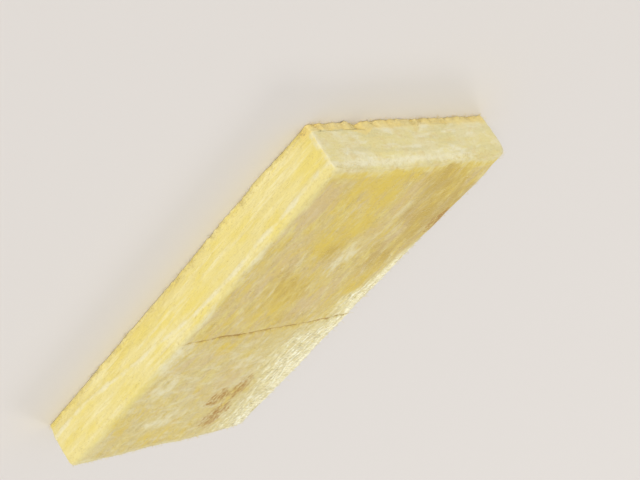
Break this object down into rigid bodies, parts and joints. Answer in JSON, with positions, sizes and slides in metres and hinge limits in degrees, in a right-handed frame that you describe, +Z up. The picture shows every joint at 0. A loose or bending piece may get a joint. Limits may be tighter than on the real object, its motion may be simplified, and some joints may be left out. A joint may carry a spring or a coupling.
{
  "type": "glass wool insulation batt",
  "caption": "Yellow glass wool batt cut off a roll of clamping felt: a soft flat slab with a rolled right arris, a fold crease across its room side and a torn back layer at the top end.",
  "frame": {"origin": "middle of the back face, on the floor", "axes": "+X to the right edge as seen from the room, +Y along the length to the top end, +Z up through the thickness to the room side"},
  "size_m": [0.7998, 1.5, 0.16],
  "materials": {
    "glass_wool": "matte"
  },
  "bodies": {
    "root": {"glass_wool_batt": "glass_wool"}
  },
  "joints": []
}
